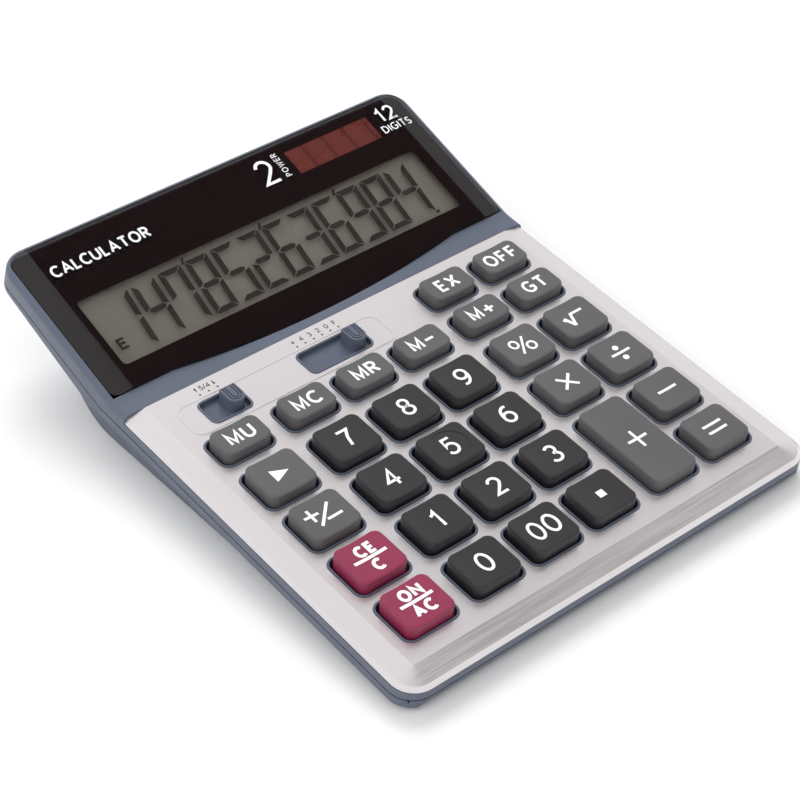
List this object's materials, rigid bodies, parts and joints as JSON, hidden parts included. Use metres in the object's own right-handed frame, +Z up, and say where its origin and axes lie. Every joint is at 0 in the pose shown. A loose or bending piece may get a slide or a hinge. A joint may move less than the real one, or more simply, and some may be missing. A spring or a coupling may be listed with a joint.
{
  "type": "desk calculator",
  "caption": "Desk calculator with a brushed metal keypad plate, a tilted display window with a solar cell, pressable keys, slide switches and a sliding battery door.",
  "frame": {"origin": "middle of the footprint, on the table plane under the feet", "axes": "+X to the right, +Y from the front edge towards the display, +Z up"},
  "size_m": [0.1536, 0.1922, 0.04],
  "materials": {
    "case_plastic": "fine moulded texture, blue grey",
    "plate_metal": "brushed across the width, clear anodised",
    "key_black": "satin, printed white legends",
    "key_grey": "satin, printed white legends",
    "key_red": "satin, printed white legends",
    "window_clear": "clear polished acrylic",
    "window_print": "black screen print",
    "display": "display glass",
    "reflector": "grey green reflective film",
    "solar": "dark red amorphous cell",
    "board": "solder mask",
    "epoxy": "potting",
    "silicone": "translucent grey",
    "foot_rubber": "matt",
    "contact_metal": "nickel plated",
    "screw_steel": "zinc plated",
    "cell_steel": "polished",
    "film": "polyimide film",
    "print_white": "white pad printing",
    "display_ink": "switched liquid crystal segment",
    "wire": "insulation"
  },
  "bodies": {
    "case": {"battery_cell": "cell_steel", "battery_contact_minus": "contact_metal", "battery_contact_plus": "contact_metal", "battery_wires": "wire", "board_screws": "screw_steel", "case_screws": "screw_steel", "display_lens": "window_clear", "driver_chip": "epoxy", "faceplate": "plate_metal", "keypad_mat": "silicone", "lcd_glass": "display", "lcd_holder": "epoxy", "lcd_reflector": "reflector", "lcd_ribbon": "film", "lens_mask": "window_print", "lower_case": "case_plastic", "main_board": "board", "rubber_feet": "foot_rubber", "solar_cell": "solar", "solar_wires": "wire", "upper_case": "case_plastic"},
    "key_0": {"key_0": "key_black"},
    "key_00": {"key_00": "key_black"},
    "key_1": {"key_1": "key_black"},
    "key_2": {"key_2": "key_black"},
    "key_3": {"key_3": "key_black"},
    "key_4": {"key_4": "key_black"},
    "key_5": {"key_5": "key_black"},
    "key_6": {"key_6": "key_black"},
    "key_7": {"key_7": "key_black"},
    "key_8": {"key_8": "key_black"},
    "key_9": {"key_9": "key_black"},
    "key_clear_entry": {"key_clear_entry": "key_red"},
    "key_divide": {"key_divide": "key_grey"},
    "key_equals": {"key_equals": "key_grey"},
    "key_exchange": {"key_exchange": "key_grey"},
    "key_grand_total": {"key_grand_total": "key_grey"},
    "key_mark_up": {"key_mark_up": "key_grey"},
    "key_memory_clear": {"key_memory_clear": "key_grey"},
    "key_memory_minus": {"key_memory_minus": "key_grey"},
    "key_memory_plus": {"key_memory_plus": "key_grey"},
    "key_memory_recall": {"key_memory_recall": "key_grey"},
    "key_minus": {"key_minus": "key_grey"},
    "key_multiply": {"key_multiply": "key_grey"},
    "key_off": {"key_off": "key_grey"},
    "key_on_clear": {"key_on_clear": "key_red"},
    "key_percent": {"key_percent": "key_grey"},
    "key_plus": {"key_plus": "key_grey"},
    "key_point": {"key_point": "key_black"},
    "key_root": {"key_root": "key_grey"},
    "key_shift": {"key_shift": "key_grey"},
    "key_sign": {"key_sign": "key_grey"},
    "round_switch": {"round_switch_knob": "case_plastic", "round_switch_wiper": "contact_metal"},
    "decimal_switch": {"decimal_switch_knob": "case_plastic", "decimal_switch_wiper": "contact_metal"},
    "battery_door": {"battery_cover": "case_plastic"}
  },
  "joints": [
    {"name": "key_0_press", "type": "slide", "parent": "case", "child": "key_0", "axis": [0, -0.0785, 0.9969], "range_m": [-0.0014, 0], "stiffness_N_per_m": 450, "springref_m": 0.0012, "deforming": ["keypad_mat"]},
    {"name": "key_00_press", "type": "slide", "parent": "case", "child": "key_00", "axis": [0, -0.0785, 0.9969], "range_m": [-0.0014, 0], "stiffness_N_per_m": 450, "springref_m": 0.0012, "deforming": ["keypad_mat"]},
    {"name": "key_1_press", "type": "slide", "parent": "case", "child": "key_1", "axis": [0, -0.0785, 0.9969], "range_m": [-0.0014, 0], "stiffness_N_per_m": 450, "springref_m": 0.0012, "deforming": ["keypad_mat"]},
    {"name": "key_2_press", "type": "slide", "parent": "case", "child": "key_2", "axis": [0, -0.0785, 0.9969], "range_m": [-0.0014, 0], "stiffness_N_per_m": 450, "springref_m": 0.0012, "deforming": ["keypad_mat"]},
    {"name": "key_3_press", "type": "slide", "parent": "case", "child": "key_3", "axis": [0, -0.0785, 0.9969], "range_m": [-0.0014, 0], "stiffness_N_per_m": 450, "springref_m": 0.0012, "deforming": ["keypad_mat"]},
    {"name": "key_4_press", "type": "slide", "parent": "case", "child": "key_4", "axis": [0, -0.0785, 0.9969], "range_m": [-0.0014, 0], "stiffness_N_per_m": 450, "springref_m": 0.0012, "deforming": ["keypad_mat"]},
    {"name": "key_5_press", "type": "slide", "parent": "case", "child": "key_5", "axis": [0, -0.0785, 0.9969], "range_m": [-0.0014, 0], "stiffness_N_per_m": 450, "springref_m": 0.0012, "deforming": ["keypad_mat"]},
    {"name": "key_6_press", "type": "slide", "parent": "case", "child": "key_6", "axis": [0, -0.0785, 0.9969], "range_m": [-0.0014, 0], "stiffness_N_per_m": 450, "springref_m": 0.0012, "deforming": ["keypad_mat"]},
    {"name": "key_7_press", "type": "slide", "parent": "case", "child": "key_7", "axis": [0, -0.0785, 0.9969], "range_m": [-0.0014, 0], "stiffness_N_per_m": 450, "springref_m": 0.0012, "deforming": ["keypad_mat"]},
    {"name": "key_8_press", "type": "slide", "parent": "case", "child": "key_8", "axis": [0, -0.0785, 0.9969], "range_m": [-0.0014, 0], "stiffness_N_per_m": 450, "springref_m": 0.0012, "deforming": ["keypad_mat"]},
    {"name": "key_9_press", "type": "slide", "parent": "case", "child": "key_9", "axis": [0, -0.0785, 0.9969], "range_m": [-0.0014, 0], "stiffness_N_per_m": 450, "springref_m": 0.0012, "deforming": ["keypad_mat"]},
    {"name": "key_clear_entry_press", "type": "slide", "parent": "case", "child": "key_clear_entry", "axis": [0, -0.0785, 0.9969], "range_m": [-0.0014, 0], "stiffness_N_per_m": 450, "springref_m": 0.0012, "deforming": ["keypad_mat"]},
    {"name": "key_divide_press", "type": "slide", "parent": "case", "child": "key_divide", "axis": [0, -0.0785, 0.9969], "range_m": [-0.0014, 0], "stiffness_N_per_m": 450, "springref_m": 0.0012, "deforming": ["keypad_mat"]},
    {"name": "key_equals_press", "type": "slide", "parent": "case", "child": "key_equals", "axis": [0, -0.0785, 0.9969], "range_m": [-0.0014, 0], "stiffness_N_per_m": 450, "springref_m": 0.0012, "deforming": ["keypad_mat"]},
    {"name": "key_exchange_press", "type": "slide", "parent": "case", "child": "key_exchange", "axis": [0, -0.0785, 0.9969], "range_m": [-0.0014, 0], "stiffness_N_per_m": 450, "springref_m": 0.0012, "deforming": ["keypad_mat"]},
    {"name": "key_grand_total_press", "type": "slide", "parent": "case", "child": "key_grand_total", "axis": [0, -0.0785, 0.9969], "range_m": [-0.0014, 0], "stiffness_N_per_m": 450, "springref_m": 0.0012, "deforming": ["keypad_mat"]},
    {"name": "key_mark_up_press", "type": "slide", "parent": "case", "child": "key_mark_up", "axis": [0, -0.0785, 0.9969], "range_m": [-0.0014, 0], "stiffness_N_per_m": 450, "springref_m": 0.0012, "deforming": ["keypad_mat"]},
    {"name": "key_memory_clear_press", "type": "slide", "parent": "case", "child": "key_memory_clear", "axis": [0, -0.0785, 0.9969], "range_m": [-0.0014, 0], "stiffness_N_per_m": 450, "springref_m": 0.0012, "deforming": ["keypad_mat"]},
    {"name": "key_memory_minus_press", "type": "slide", "parent": "case", "child": "key_memory_minus", "axis": [0, -0.0785, 0.9969], "range_m": [-0.0014, 0], "stiffness_N_per_m": 450, "springref_m": 0.0012, "deforming": ["keypad_mat"]},
    {"name": "key_memory_plus_press", "type": "slide", "parent": "case", "child": "key_memory_plus", "axis": [0, -0.0785, 0.9969], "range_m": [-0.0014, 0], "stiffness_N_per_m": 450, "springref_m": 0.0012, "deforming": ["keypad_mat"]},
    {"name": "key_memory_recall_press", "type": "slide", "parent": "case", "child": "key_memory_recall", "axis": [0, -0.0785, 0.9969], "range_m": [-0.0014, 0], "stiffness_N_per_m": 450, "springref_m": 0.0012, "deforming": ["keypad_mat"]},
    {"name": "key_minus_press", "type": "slide", "parent": "case", "child": "key_minus", "axis": [0, -0.0785, 0.9969], "range_m": [-0.0014, 0], "stiffness_N_per_m": 450, "springref_m": 0.0012, "deforming": ["keypad_mat"]},
    {"name": "key_multiply_press", "type": "slide", "parent": "case", "child": "key_multiply", "axis": [0, -0.0785, 0.9969], "range_m": [-0.0014, 0], "stiffness_N_per_m": 450, "springref_m": 0.0012, "deforming": ["keypad_mat"]},
    {"name": "key_off_press", "type": "slide", "parent": "case", "child": "key_off", "axis": [0, -0.0785, 0.9969], "range_m": [-0.0014, 0], "stiffness_N_per_m": 450, "springref_m": 0.0012, "deforming": ["keypad_mat"]},
    {"name": "key_on_clear_press", "type": "slide", "parent": "case", "child": "key_on_clear", "axis": [0, -0.0785, 0.9969], "range_m": [-0.0014, 0], "stiffness_N_per_m": 450, "springref_m": 0.0012, "deforming": ["keypad_mat"]},
    {"name": "key_percent_press", "type": "slide", "parent": "case", "child": "key_percent", "axis": [0, -0.0785, 0.9969], "range_m": [-0.0014, 0], "stiffness_N_per_m": 450, "springref_m": 0.0012, "deforming": ["keypad_mat"]},
    {"name": "key_plus_press", "type": "slide", "parent": "case", "child": "key_plus", "axis": [0, -0.0785, 0.9969], "range_m": [-0.0014, 0], "stiffness_N_per_m": 700, "springref_m": 0.0012, "deforming": ["keypad_mat"]},
    {"name": "key_point_press", "type": "slide", "parent": "case", "child": "key_point", "axis": [0, -0.0785, 0.9969], "range_m": [-0.0014, 0], "stiffness_N_per_m": 450, "springref_m": 0.0012, "deforming": ["keypad_mat"]},
    {"name": "key_root_press", "type": "slide", "parent": "case", "child": "key_root", "axis": [0, -0.0785, 0.9969], "range_m": [-0.0014, 0], "stiffness_N_per_m": 450, "springref_m": 0.0012, "deforming": ["keypad_mat"]},
    {"name": "key_shift_press", "type": "slide", "parent": "case", "child": "key_shift", "axis": [0, -0.0785, 0.9969], "range_m": [-0.0014, 0], "stiffness_N_per_m": 450, "springref_m": 0.0012, "deforming": ["keypad_mat"]},
    {"name": "key_sign_press", "type": "slide", "parent": "case", "child": "key_sign", "axis": [0, -0.0785, 0.9969], "range_m": [-0.0014, 0], "stiffness_N_per_m": 450, "springref_m": 0.0012, "deforming": ["keypad_mat"]},
    {"name": "round_switch_slide", "type": "slide", "parent": "case", "child": "round_switch", "axis": [1, 0, 0], "range_m": [-0.00628, 0]},
    {"name": "decimal_switch_slide", "type": "slide", "parent": "case", "child": "decimal_switch", "axis": [1, 0, 0], "range_m": [-0.0157, 0]},
    {"name": "battery_door_slide", "type": "slide", "parent": "case", "child": "battery_door", "axis": [0, 1, 0], "range_m": [0, 0.034]}
  ]
}
